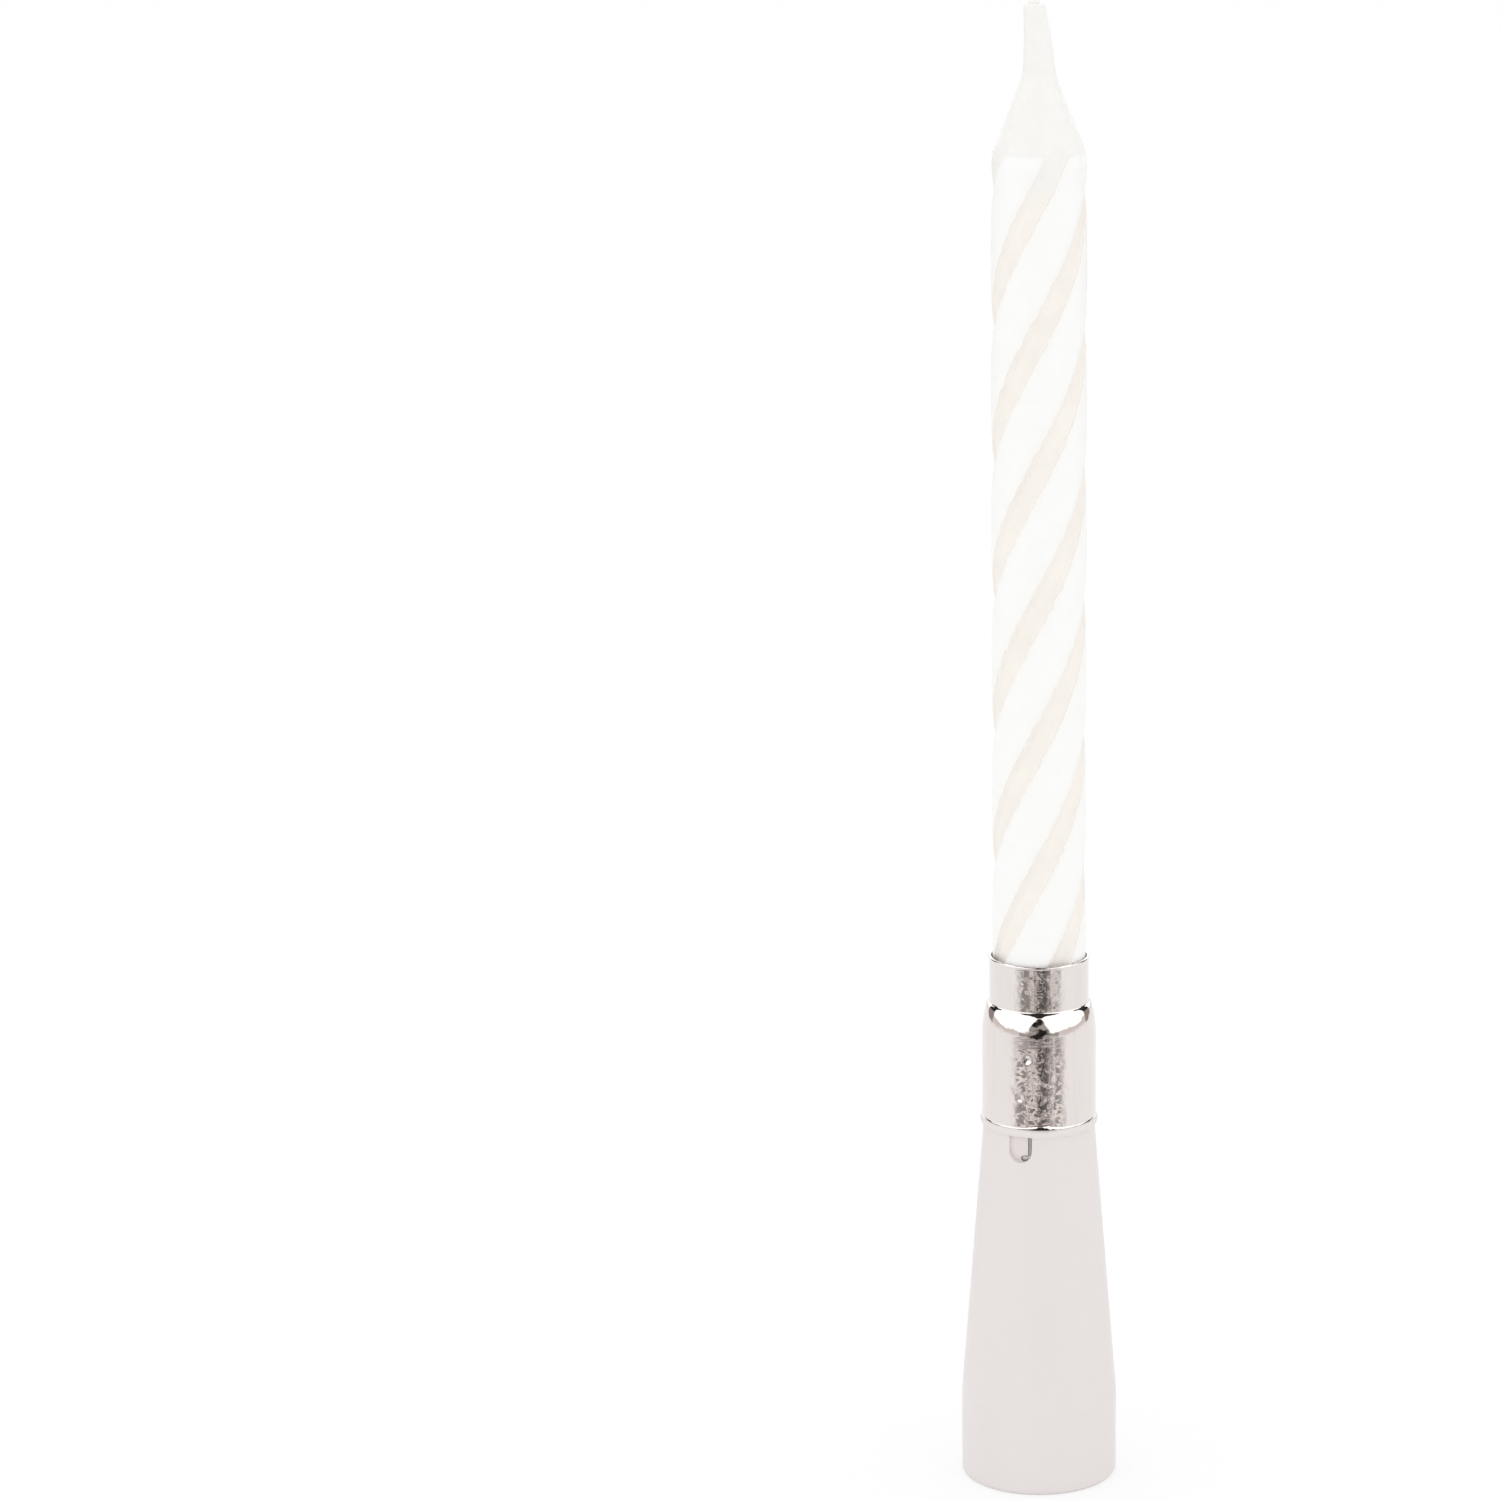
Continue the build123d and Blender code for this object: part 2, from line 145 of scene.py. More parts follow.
class Finishes(bpy.types.PropertyGroup):
    """Colours of the finishes."""

    core_wax: colour("Core wax", "Cream wax that shows in the grooves", (0.925, 0.885, 0.825))
    tip_wax: colour("Tip wax", "Paler wax that the tip was dipped in", (0.905, 0.895, 0.872))
    white_wax: colour("White wax", "White wax of the coats", (0.945, 0.945, 0.938))
    wick_cotton: colour("Wick", "Waxed cotton", (0.93, 0.92, 0.88))
    ferrule_metal: colour("Ferrule", "Bright plated sheet", (0.800, 0.750, 0.730))
    base_plastic: colour("Base", "Milky plastic of the base", (0.784, 0.734, 0.724))
    plug_plastic: colour("Plug", "Milky plastic of the plug", (0.755, 0.715, 0.70))
    strip_metal: colour("Strip", "Rolled brass", (0.78, 0.62, 0.32))
    wrap_film: colour("Wrap", "Dark shrunk film", (0.030, 0.034, 0.040))
    cell_steel: colour("Cells", "Plated steel of the cells", (0.66, 0.66, 0.67))
    gasket_nylon: colour("Gaskets", "Moulded seals", (0.055, 0.060, 0.066))
    lens_epoxy: colour("Lens", "Clear cast epoxy", (0.92, 0.94, 0.96))
    chip_die: colour("Chip", "Dark die in the lamp", (0.035, 0.030, 0.040))
    # Leads: tinned wire whose dark tone is painted shade, standing for the shade in the notch round the
    # cathode lead
    lead_metal: colour("Leads", "Dulled tinned wire", (0.46, 0.44, 0.42))


class StageSizes(bpy.types.PropertyGroup):
    """Sizes and colours of the stage: camera, light, floor, and the cards and flags for reflections."""

    camera_distance: length("Camera distance", "From the axis to the camera", 0.310)
    camera_height: length("Camera height", "Height of the camera", 0.12385)
    camera_pitch: turn("Camera pitch", "How far the camera looks down", 14.15 * DEGREE)
    focal_pixels: pixels("Focal length", "Focal length in pixels of the image", 5356)
    axis_pixels: pixels("Axis offset", "Pixels from the image's middle to the axis", 289)
    sky_level: plain("Sky", "Level of the light from all round", 1.02)
    sky_shine: plain("Sky shine", "Level of the sky in reflections", 1.4)
    lamp_level: plain("Soft box", "Brightness of the soft box", 0.12)
    lamp_side: length("Soft box side", "Side of the soft box", 1.6)
    lamp_place: position("Soft box place", "Place of the soft box over the floor", (-0.10, -0.30, 0.82))
    floor_glow: share("Floor glow", "Share of pure white in the floor where it is seen", 0.70)
    floor_tone: colour("Floor", "Pale matt floor", (0.95, 0.95, 0.95))
    card_half_angle: turn("Card half angle", "Half width of the grey card in front", 62 * DEGREE)
    card_tone: colour("Grey card", "Light patches of the grey card", (0.86, 0.80, 0.77))
    dark_half_angle: turn("Dark half angle", "Half width of the dark card in front", 30 * DEGREE)
    dark_tone: colour("Dark card", "Light patches of the dark card", (0.53, 0.485, 0.46))
    ring_tone: colour("Ring", "Grey ring all round", (0.70, 0.65, 0.62))
    front_half_angle: turn("Front half angle", "Half width of the darker ring in front", 40 * DEGREE)
    front_tone: colour("Front ring", "Darker ring in front", (0.36, 0.33, 0.31))
    flag_angle: turn("Flag angle", "Turn from the front to the dark flags at the back", 122 * DEGREE)
    flag_half_angle: turn("Flag half angle", "Half width of a dark flag", 12 * DEGREE)
    low_flag_tone: colour("Low flags", "Brown of the low flags", (0.30, 0.26, 0.24))
    dark_flag_tone: colour("Dark flags", "Near black of the other flags", (0.03, 0.03, 0.03))


def arithmetic(operation, swapped=False):
    """Method of a field that works it out with a math node."""
    if swapped:
        return lambda field, other: field.graph.math(operation, other, field)
    return lambda field, *other: field.graph.math(operation, field, *other)


class Field:
    """Number in a node tree that takes plain arithmetic."""

    def __init__(self, graph, socket):
        self.graph = graph
        self.socket = socket

    __add__ = arithmetic("ADD")
    __radd__ = arithmetic("ADD", swapped=True)
    __sub__ = arithmetic("SUBTRACT")
    __rsub__ = arithmetic("SUBTRACT", swapped=True)
    __mul__ = arithmetic("MULTIPLY")
    __rmul__ = arithmetic("MULTIPLY", swapped=True)
    __truediv__ = arithmetic("DIVIDE")
    __pow__ = arithmetic("POWER")
    __abs__ = arithmetic("ABSOLUTE")


class Graph:
    """Node tree with short calls for its nodes, links and arithmetic."""

    COLUMNS = 12
    SPACING = (220, 200)

    def __init__(self, tree):
        self.tree = tree

    def node(self, kind, feeds=None, **settings):
        """New node with its settings, its inputs fed by name or number."""
        made = self.tree.nodes.new(kind)
        row, column = divmod(len(self.tree.nodes), self.COLUMNS)
        made.location = (column * self.SPACING[0], -row * self.SPACING[1])
        for setting, value in settings.items():
            setattr(made, setting, value)
        for spot, value in (feeds or {}).items():
            self.feed(made.inputs[spot], value)
        return made

    def feed(self, socket, value):
        """Links a field, a socket or a node's first output to the input, or sets its plain value."""
        if isinstance(value, Field):
            value = value.socket
        elif isinstance(value, bpy.types.Node):
            value = value.outputs[0]
        if isinstance(value, bpy.types.NodeSocket):
            self.tree.links.new(value, socket)
        else:
            socket.default_value = value

    def math(self, operation, *terms, clamp=False):
        """Field of a math node."""
        made = self.node("ShaderNodeMath", dict(enumerate(terms)), operation=operation, use_clamp=clamp)
        return Field(self, made.outputs[0])

    def split(self, vector):
        """The three fields of a vector."""
        made = self.node("ShaderNodeSeparateXYZ", {0: vector})
        return [Field(self, socket) for socket in made.outputs]

    def join(self, x, y, z):
        """Vector of three fields."""
        return self.node("ShaderNodeCombineXYZ", {0: x, 1: y, 2: z}).outputs[0]

    def around(self, radius, angle, height):
        """Vector at a radius, an angle and a height."""
        return self.join(radius * self.math("COSINE", angle), radius * self.math("SINE", angle), height)

    def step(self, value, low, high):
        """Field that rises smoothly from 0 at low to 1 at high."""
        made = self.node(
            "ShaderNodeMapRange",
            {"Value": value, "From Min": low, "From Max": high},
            interpolation_type="SMOOTHSTEP",
        )
        return Field(self, made.outputs["Result"])

    def noise(self, vector, scale, detail=2.0, roughness=0.5):
        """Field of a noise texture, from about 0.25 to 0.75."""
        made = self.node(
            "ShaderNodeTexNoise",
            {"Vector": vector, "Scale": scale, "Detail": detail, "Roughness": roughness},
        )
        return Field(self, made.outputs[0])

    def mix(self, factor, low, high):
        """Colour between two colours."""
        made = self.node("ShaderNodeMix", {0: factor, 6: low, 7: high}, data_type="RGBA")
        return made.outputs[2]

    def inputs(self, *named):
        """Group inputs of the tree, made from (name, kind, default), as fields by name."""
        for name, kind, default in named:
            socket = self.tree.interface.new_socket(name=name, in_out="INPUT", socket_type=kind)
            if default is not None:
                socket.default_value = default
        entry = self.tree.nodes.new("NodeGroupInput")
        return {socket.name: Field(self, socket) for socket in entry.outputs if socket.name}

    def outputs(self, *named):
        """Group outputs of the tree, made from (name, kind, value)."""
        for name, kind, _ in named:
            self.tree.interface.new_socket(name=name, in_out="OUTPUT", socket_type=kind)
        leave = self.node("NodeGroupOutput")
        for name, _, value in named:
            self.feed(leave.inputs[name], value)


def pick(sizes, names, **more):
    """Values for a tree's inputs: the named sizes by their titles, and more by its own names."""
    titles = sizes.bl_rna.properties
    return {titles[name].name: float(getattr(sizes, name)) for name in names.split()} | more


def geometry_graph(name, values):
    """Graph of a new geometry tree, with an input for each size in the values and for the material."""
    graph = Graph(bpy.data.node_groups.new(name, "GeometryNodeTree"))
    sizes = [(title, FLOAT, value) for title, value in values.items() if title != "Material"]
    return graph, graph.inputs(*sizes, ("Material", "NodeSocketMaterial", None))


def close_geometry(graph, geometry, given):
    """Ends a geometry tree: smooth, realized and with its material."""
    smooth = graph.node("GeometryNodeSetShadeSmooth", {"Geometry": geometry})
    real = graph.node("GeometryNodeRealizeInstances", {"Geometry": smooth})
    dressed = graph.node(
        "GeometryNodeSetMaterial", {"Geometry": real, "Material": given["Material"]}
    )
    graph.outputs(("Geometry", "NodeSocketGeometry", dressed))
    return graph.tree


def grow(name, tree, values):
    """New object whose plain mesh comes from a geometry tree with these input values."""
    piece = bpy.data.objects.new(name, bpy.data.meshes.new(name))
    bpy.context.scene.collection.objects.link(piece)
    modifier = piece.modifiers.new("shape", "NODES")
    modifier.node_group = tree
    for item in tree.interface.items_tree:
        if item.in_out == "INPUT":
            modifier[item.identifier] = values[item.name]
    depsgraph = bpy.context.evaluated_depsgraph_get()
    grown = bpy.data.meshes.new_from_object(piece.evaluated_get(depsgraph), depsgraph=depsgraph)
    piece.modifiers.clear()
    if not grown.polygons:
        raise RuntimeError(f"{name}: its geometry tree gave no faces")
    piece.data = grown
    grown.name = name
    return piece


def settle(piece, body, slot, *nodes, sharp_degrees=35):
    """Marks the sharp edges, then puts the finished piece on its body in place of the nodes."""
    piece.data.set_sharp_from_angle(angle=math.radians(sharp_degrees))
    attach(piece, body)
    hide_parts(*nodes)


def unit_tube(graph, around, rows, ends):
    """Tube of unit size, its ends filled in this way, and the x, y and z to bend it by."""
    feeds = {"Vertices": around, "Side Segments": rows, "Radius": 1.0, "Depth": 1.0}
    tube = graph.node("GeometryNodeMeshCylinder", feeds, fill_type=ends)
    return tube, *graph.split(graph.node("GeometryNodeInputPosition"))


def twisted_core_tree(values):
    """Geometry tree of the wax core: a twisted, ribbed rod with a cone, a leaning stub and a bore."""
    around, side_rows, top_rows, bore_rows, foot_rows = 144, 300, 6, 24, 3
    rows = side_rows + top_rows + bore_rows + foot_rows
    cone_blend, stub_blend, seam_gap = 0.12 * MM, 0.16 * MM, 0.0005 * MM
    groove_from, groove_full = 0.02, 0.14
    rib_fade_below, rib_fade_above = 0.1 * MM, 0.6 * MM
    lumps_across, lump_height = 3, 2.2 * MM
    graph, given = geometry_graph("twisted_core", values)
    tube, x, y, z = unit_tube(graph, around, rows, "NONE")
    angle = graph.math("ARCTAN2", y, x)
    # The tube's rows go up the side, in over the top, down the bore and out under the foot
    row = (z + 0.5) * rows
    climb = graph.math("DIVIDE", row, side_rows, clamp=True)
    inward = graph.math("DIVIDE", row - side_rows, top_rows, clamp=True)
    drop = graph.math("DIVIDE", row - (side_rows + top_rows), bore_rows, clamp=True)
    outward = graph.math("DIVIDE", row - (rows - foot_rows), foot_rows, clamp=True)

    seat, cone_bottom, wax_top = given["Seat"], given["Cone bottom"], given["Wax top"]
    rod, stub_foot, bore = given["Rod radius"], given["Stub radius"], given["Bore radius"]
    stub_bottom = cone_bottom + given["Cone length"]
    tall = wax_top - seat
    edge_drop = given["Tip round"] * (1 - inward) ** 2
    height = seat + (tall - edge_drop) * climb - (tall - edge_drop) * drop
    up_cone = (height - cone_bottom) / (stub_bottom - cone_bottom)
    up_stub = (height - stub_bottom) / (wax_top - stub_bottom)
    along_stub = graph.math("MAXIMUM", up_stub, 0.0)
    cone = rod + (stub_foot - rod) * up_cone
    stub = stub_foot + (given["Tip radius"] - stub_foot) * along_stub
    body = graph.math("SMOOTH_MIN", cone, rod, cone_blend)
    body = graph.math("SMOOTH_MAX", body, stub, stub_blend)

    spot = graph.math("FRACT", angle * given["Ribs"] / math.tau + 0.5)
    from_rib = abs(spot - 0.5) * 2
    white = given["White share"]
    groove = graph.step(from_rib, white + groove_from, white + groove_full)
    ribbed = 1 - graph.step(height, cone_bottom - rib_fade_below, cone_bottom + rib_fade_above)
    lump_place = graph.join(x * lumps_across + given["Seed"], y * lumps_across, height / lump_height)
    lumps = graph.noise(lump_place, 1.0, detail=3.0)
    side = body - given["Groove depth"] * groove * ribbed + given["Unevenness"] * (lumps * 2 - 1)
    radius = bore + (side - bore) * (1 - inward + outward)

    turned = given["Stripe start"] + angle + (height - seat) / given["Spiral lead"] * math.tau
    place = graph.join(
        radius * graph.math("COSINE", turned) - given["Tip lean"] * along_stub ** 2,
        radius * graph.math("SINE", turned),
        height,
    )
    moved = graph.node("GeometryNodeSetPosition", {"Geometry": tube, "Position": place})
    sealed = graph.node("GeometryNodeMergeByDistance", {"Geometry": moved, "Distance": seam_gap})
    return close_geometry(graph, sealed, given)


def white_coat_tree(values):
    """Geometry tree of one white coat: a rounded band along the spiral with wandering edges."""
    around, rows = 40, 480
    width_power, height_power, wander_power, thin_power = 0.7, 0.5, 3, 7
    edge_gap, wander_height = 4, 0.6 * MM
    lumps_across, lump_height = 1.3, 1.9 * MM
    top_fade, top_thinning = 0.7 * MM, 0.85
    graph, given = geometry_graph("white_coat", values)
    tube, x, y, z = unit_tube(graph, around, rows, "NGON")
    # The tube's round section is flattened to a band: x runs across it and y lifts its skin
    side = graph.math("SIGN", x) * -1
    across = side * abs(x) ** width_power
    lift = graph.math("SIGN", y) * abs(y) ** height_power
    seat, top, sink, seed = given["Seat"], given["Cone bottom"], given["Coat sink"], given["Seed"]
    height = seat + (top - seat) * (z + 0.5)

    wander_place = graph.join(side * edge_gap + seed, height / wander_height, seed * 2)
    wander = graph.noise(wander_place, 1.0, detail=3.0, roughness=0.6)
    shift = given["Raggedness"] / given["Radius"] * (wander * 2 - 1) * abs(across) ** wander_power
    bearing = across * given["Span"] / 2 + side * shift
    lump_place = graph.join(across * lumps_across + seed, seed, height / lump_height)
    lumps = graph.noise(lump_place, 1.0, detail=3.0)
    fade = 1 - graph.step(height, top - top_fade, top)
    outer_side = graph.math("MAXIMUM", lift, 0.0)
    under_side = graph.math("MINIMUM", lift, 0.0)
    edge_radius = given["Rod radius"] - sink
    full_rise = (given["Radius"] - edge_radius) * (1 - top_thinning * (1 - fade))
    rise = full_rise + given["Unevenness"] * (lumps - 1)
    radius = edge_radius + rise * outer_side + sink * 2 * under_side
    turned = given["Stripe start"] + bearing + (height - seat) / given["Spiral lead"] * math.tau
    place = graph.around(radius, turned, height)
    thinned = graph.node(
        "GeometryNodeStoreNamedAttribute",
        {"Geometry": tube, "Name": THIN_EDGE, "Value": abs(across) ** thin_power},
        data_type="FLOAT",
        domain="POINT",
    )
    moved = graph.node("GeometryNodeSetPosition", {"Geometry": thinned, "Position": place})
    return close_geometry(graph, moved, given)


def wick_tree(values):
    """Geometry tree of the wick: plies wound round a waxed heart, leaning in the stub."""
    plies, steps, ply_sides, heart_sides = 3, 420, 10, 24
    winding_ratio, heart_ratio, heart_drop = 1.08, 1.9, 0.35
    graph, given = geometry_graph("plied_wick", values)
    top, ply_radius = given["Top"], given["Ply radius"]
    stub_bottom = given["Cone bottom"] + given["Cone length"]
    start = graph.join(0.0, 0.0, given["Bottom"])
    height = graph.split(graph.node("GeometryNodeInputPosition"))[2]
    turned = height / given["Ply lead"] * math.tau
    off_axis = ply_radius * winding_ratio
    winding = graph.around(off_axis, turned, height)

    def strand(end_height, sides, radius, course=None):
        """Tube along a straight line up from the start, or along the course that it is moved to."""
        end = graph.join(0.0, 0.0, end_height)
        line = graph.node("GeometryNodeCurvePrimitiveLine", {"Start": start, "End": end})
        path = graph.node("GeometryNodeResampleCurve", {"Curve": line, "Count": steps})
        if course is not None:
            path = graph.node("GeometryNodeSetPosition", {"Geometry": path, "Position": course})
        circle = {"Resolution": sides, "Radius": radius}
        section = graph.node("GeometryNodeCurvePrimitiveCircle", circle)
        feeds = {"Curve": path, "Profile Curve": section, "Fill Caps": True}
        return graph.node("GeometryNodeCurveToMesh", feeds)

    spots = graph.node("GeometryNodeMeshLine", {"Count": plies, "Offset": (0.0, 0.0, 0.0)})
    which = Field(graph, graph.node("GeometryNodeInputIndex").outputs[0])
    copies = graph.node(
        "GeometryNodeInstanceOnPoints",
        {
            "Points": spots,
            "Instance": strand(top, ply_sides, ply_radius, winding),
            "Rotation": graph.join(0.0, 0.0, which * (math.tau / plies)),
        },
    )
    heart = strand(top - ply_radius * heart_drop, heart_sides, ply_radius * heart_ratio)
    joined = graph.node("GeometryNodeJoinGeometry")
    for strands in (copies, heart):
        graph.feed(joined.inputs[0], strands)
    real = graph.node("GeometryNodeRealizeInstances", {"Geometry": joined})
    x, y, z = graph.split(graph.node("GeometryNodeInputPosition"))
    up_stub = graph.math("MAXIMUM", (z - stub_bottom) / (top - stub_bottom), 0.0)
    leaning = graph.node(
        "GeometryNodeSetPosition",
        {"Geometry": real, "Position": graph.join(x - given["Tip lean"] * up_stub ** 2, y, z)},
    )
    return close_geometry(graph, leaning, given)


def shader_group(name):
    """Graph of a new, empty shader group."""
    return Graph(bpy.data.node_groups.new(name, "ShaderNodeTree"))


def object_place(graph):
    """Object coordinates as three fields."""
    return graph.split(graph.node("ShaderNodeTexCoord").outputs["Object"])


def object_millimetres(graph):
    """Object coordinates in millimetres."""
    place = graph.node("ShaderNodeTexCoord").outputs["Object"]
    return graph.node("ShaderNodeVectorMath", {0: place, 3: 1 / MM}, operation="SCALE").outputs[0]


def mottle_group():
    """Shader group: slow, cloudy change between two tones."""
    cloud_low, cloud_high = 0.3, 0.7
    graph = shader_group("mottle")
    given = graph.inputs(
        ("Light", COLOR, (1, 1, 1, 1)), ("Dark", COLOR, (0.8, 0.8, 0.8, 1)),
        ("Per mm", FLOAT, 0.5), ("Stretch", FLOAT, 1.0),
    )
    x, y, z = graph.split(object_millimetres(graph))
    place = graph.join(x, y, z * given["Stretch"])
    clouds = graph.noise(place, given["Per mm"], detail=4.0, roughness=0.55)
    mask = graph.step(clouds, cloud_low, cloud_high)
    graph.outputs(("Color", COLOR, graph.mix(mask, given["Light"], given["Dark"])))
    return graph.tree


def grain_group():
    """Shader group: fine grain with scattered pits, as a height and as a roughness."""
    pit_floor, pit_rim = 0.03, 0.16
    wear_ratio, wear_low, wear_high = 9, 0.35, 0.65
    graph = shader_group("grain")
    given = graph.inputs(
        ("Per mm", FLOAT, 6.0), ("Pits per mm", FLOAT, 1.2), ("Pit Depth", FLOAT, 0.6),
        ("Smooth", FLOAT, 0.4), ("Rough", FLOAT, 0.5),
    )
    place = object_millimetres(graph)
    fine = graph.noise(place, given["Per mm"], detail=5.0, roughness=0.6)
    cells = graph.node("ShaderNodeTexVoronoi", {"Vector": place, "Scale": given["Pits per mm"]})
    pit = 1 - graph.step(cells.outputs["Distance"], pit_floor, pit_rim)
    height = fine - pit * given["Pit Depth"]
    worn = graph.step(graph.noise(place, given["Per mm"] / wear_ratio, detail=3.0), wear_low, wear_high)
    rough = given["Smooth"] + (given["Rough"] - given["Smooth"]) * worn
    graph.outputs(("Height", FLOAT, height), ("Roughness", FLOAT, rough))
    return graph.tree


def fleck_group():
    """Shader group: hammered flecks of plated or tinned metal, as a height, a roughness and a tone."""
    streak_stretch, streak_ratio = 0.08, 1.6
    dull_from, dull_full = 0.45, 0.8
    graph = shader_group("flecks")
    given = graph.inputs(
        ("Tone", COLOR, (0.8, 0.8, 0.8, 1)), ("Dull", COLOR, (0.6, 0.6, 0.6, 1)),
        ("Per mm", FLOAT, 4.0), ("Stretch", FLOAT, 0.7), ("Smooth", FLOAT, 0.1), ("Rough", FLOAT, 0.25),
    )
    x, y, z = graph.split(object_millimetres(graph))
    place = graph.join(x, y, z * given["Stretch"])
    bumps = graph.noise(place, given["Per mm"], detail=1.0, roughness=0.4)
    drawn_out = graph.join(x, y, z * streak_stretch)
    streaks = graph.noise(drawn_out, given["Per mm"] * streak_ratio, detail=2.0)
    dulled = graph.step(streaks, dull_from, dull_full)
    rough = given["Smooth"] + (given["Rough"] - given["Smooth"]) * dulled
    graph.outputs(
        ("Height", FLOAT, bumps),
        ("Roughness", FLOAT, rough),
        ("Color", COLOR, graph.mix(dulled, given["Tone"], given["Dull"])),
    )
    return graph.tree


def shared_group(name):
    """One of the shader groups, built when it is first asked for."""
    made = {"mottle": mottle_group, "grain": grain_group, "flecks": fleck_group}
    return bpy.data.node_groups.get(name) or made[name]()


def rgba(tone, level=1.0):
    """Four-part colour of a tone, made lighter or darker by a level."""
    return (*[min(1.0, part * level) for part in tone], 1.0)


class Finish:
    """Material in the making, with its graph, its shader and the shared groups placed in it."""

    def __init__(self, name, **constants):
        self.material = bpy.data.materials.new(name)
        self.material.use_nodes = True
        self.graph = Graph(self.material.node_tree)
        self.shader = self.material.node_tree.nodes["Principled BSDF"]
        for socket, value in constants.items():
            self.shader.inputs[socket.replace("_", " ")].default_value = value

    def place(self, name, **values):
        """A shared group with its own values."""
        feeds = {socket.replace("_", " "): value for socket, value in values.items()}
        return self.graph.node("ShaderNodeGroup", feeds, node_tree=shared_group(name)).outputs

    def clouds(self, tone, shade, **values):
        """Colour of a mottle between a tone and a shade of it."""
        return self.place("mottle", Light=rgba(tone), Dark=rgba(tone, shade), **values)["Color"]

    def grained(self, tone, depth, strength, **values):
        """Feeds the shader a colour and the roughness and bump of a grain, and gives the material."""
        grain = self.place("grain", **values)
        return self.surface(tone, grain["Roughness"], grain["Height"], depth, strength)

    def surface(self, tone, roughness, height, depth, strength):
        """Feeds the shader's colour, roughness and bump, and gives the material."""
        bump = self.graph.node(
            "ShaderNodeBump", {"Height": height, "Distance": depth, "Strength": strength}
        )
        self.graph.feed(self.shader.inputs["Base Color"], tone)
        self.graph.feed(self.shader.inputs["Roughness"], roughness)
        self.graph.feed(self.shader.inputs["Normal"], bump)
        return self.material


WAX_GLOW = {
    "IOR": 1.43,
    "Specular_IOR_Level": 0.25,
    "Subsurface_Weight": 0.12,
    "Subsurface_Radius": (1.0, 1.0, 1.0),
    "Subsurface_Scale": 0.08 * MM,
}


def core_wax_finish(tones, sizes):
    """Cream wax with a paler dipped tip, cloudy and slightly pitted."""
    dip_from, dip_full = 3.6 * MM, 0.6 * MM
    finish = Finish("cream_core_wax", **WAX_GLOW)
    graph = finish.graph
    cream = finish.clouds(tones.core_wax, 0.965, Per_mm=0.7)
    pale = finish.clouds(tones.tip_wax, 0.975, Per_mm=0.9)
    height = object_place(graph)[2]
    dip = graph.step(height, sizes.cone_bottom - dip_from, sizes.cone_bottom - dip_full)
    return finish.grained(
        graph.mix(dip, cream, pale), depth=0.008 * MM, strength=0.6,
        Per_mm=7.0, Pits_per_mm=1.3, Pit_Depth=0.7, Smooth=0.36, Rough=0.50,
    )


def white_wax_finish(tones):
    """White wax with a soft sheen, through whose thin edges the cream wax shows."""
    cream_share = 0.7
    finish = Finish("white_coat_wax", **WAX_GLOW)
    graph = finish.graph
    thin = Field(graph, graph.node("ShaderNodeAttribute", attribute_name=THIN_EDGE).outputs["Fac"])
    white = finish.clouds(tones.white_wax, 0.985, Per_mm=0.8)
    return finish.grained(
        graph.mix(thin * cream_share, white, rgba(tones.core_wax)), depth=0.006 * MM, strength=0.6,
        Per_mm=6.0, Pits_per_mm=0.9, Pit_Depth=0.5, Smooth=0.30, Rough=0.44,
    )


def wick_finish(tones):
    """Waxed cotton plies with fibres along them."""
    finish = Finish("waxed_cotton", Sheen_Weight=0.2)
    fibres = finish.clouds(tones.wick_cotton, 0.93, Per_mm=9.0, Stretch=0.25)
    return finish.grained(
        fibres, depth=0.012 * MM, strength=0.8,
        Per_mm=14.0, Pits_per_mm=4.0, Pit_Depth=0.3, Smooth=0.6, Rough=0.85,
    )


def ferrule_finish(tones, ferrule):
    """Bright plated sheet, finely hammered, streaked along its draw and burnished on the shoulder."""
    burnish, fade = 0.7, 0.3 * MM
    finish = Finish("plated_ferrule_sheet", Metallic=1.0)
    graph = finish.graph
    flecks = finish.place(
        "flecks", Tone=rgba(tones.ferrule_metal), Dull=rgba(tones.ferrule_metal, 0.965),
        Per_mm=2.0, Stretch=0.85, Smooth=0.04, Rough=0.09,
    )
    height = object_place(graph)[2]
    foot = ferrule.bottom + ferrule.sleeve_length
    crease = foot + ferrule.shoulder_rise
    shoulder = graph.step(height, foot, foot + fade) * (1 - graph.step(height, crease - fade, crease))
    bumps = Field(graph, flecks["Height"]) * (1 - shoulder * burnish)
    return finish.surface(flecks["Color"], flecks["Roughness"], bumps, depth=0.030 * MM, strength=1.0)


def plastic_finish(name, tone):
    """Milky moulded plastic with a satin, finely grained skin."""
    finish = Finish(
        name, IOR=1.46, Sheen_Weight=0.25, Sheen_Roughness=0.30,
        Subsurface_Weight=0.10, Subsurface_Radius=(1.0, 0.9, 0.85), Subsurface_Scale=0.3 * MM,
    )
    return finish.grained(
        finish.clouds(tone, 0.985, Per_mm=0.22, Stretch=0.35), depth=0.004 * MM, strength=0.5,
        Per_mm=9.0, Pits_per_mm=0.5, Pit_Depth=0.25, Smooth=0.44, Rough=0.54,
    )


def metal_finish(name, tone, smooth, rough, per_mm, stretch):
    """Small metal pieces of the works: rolled, plated or tinned."""
    finish = Finish(name, Metallic=1.0)
    flecks = finish.place(
        "flecks", Tone=rgba(tone), Dull=rgba(tone, 0.82),
        Per_mm=per_mm, Stretch=stretch, Smooth=smooth, Rough=rough,
    )
    return finish.surface(
        flecks["Color"], flecks["Roughness"], flecks["Height"], depth=0.004 * MM, strength=0.4
    )


def moulded_finish(name, tone, smooth, rough, **constants):
    """Small moulded or cast pieces of the works."""
    finish = Finish(name, **constants)
    return finish.grained(
        finish.clouds(tone, 0.85, Per_mm=1.1), depth=0.004 * MM, strength=0.4,
        Per_mm=8.0, Pits_per_mm=1.5, Pit_Depth=0.3, Smooth=smooth, Rough=rough,
    )


